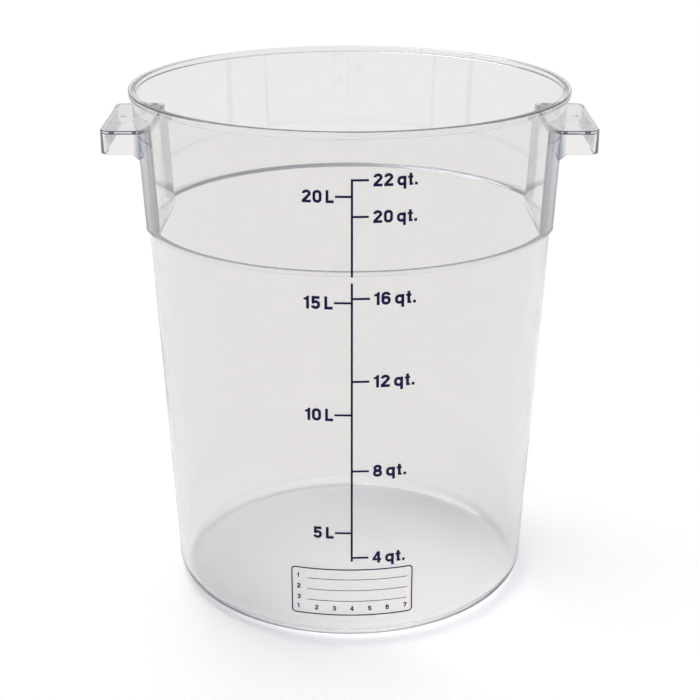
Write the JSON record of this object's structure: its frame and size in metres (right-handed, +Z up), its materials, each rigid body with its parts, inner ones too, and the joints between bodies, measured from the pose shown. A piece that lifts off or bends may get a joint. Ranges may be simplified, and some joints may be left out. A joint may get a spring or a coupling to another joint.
{
  "type": "dough proofing container",
  "caption": "Tall round clear tub with a stepped shoulder, tray handles over finger pockets, a printed volume scale and a write-on label.",
  "frame": {"origin": "centre of the base, on the plane that the tub stands on", "axes": "+Z up through the mouth; the handles lie along X; the printed scale and label face -Y"},
  "size_m": [0.351, 0.3176, 0.381],
  "materials": {
    "clear_plastic": "clear moulded polycarbonate, polished",
    "navy_ink": "screen-printed ink"
  },
  "bodies": {
    "root": {"tub": "clear_plastic", "band_scale_line": "navy_ink", "wall_scale_line": "navy_ink", "band_quart_figures": "navy_ink", "wall_quart_figures": "navy_ink", "band_litre_figures": "navy_ink", "wall_litre_figures": "navy_ink", "label_frame": "navy_ink", "label_rules": "navy_ink", "label_row_figures": "navy_ink", "label_day_figures": "navy_ink"}
  },
  "joints": []
}
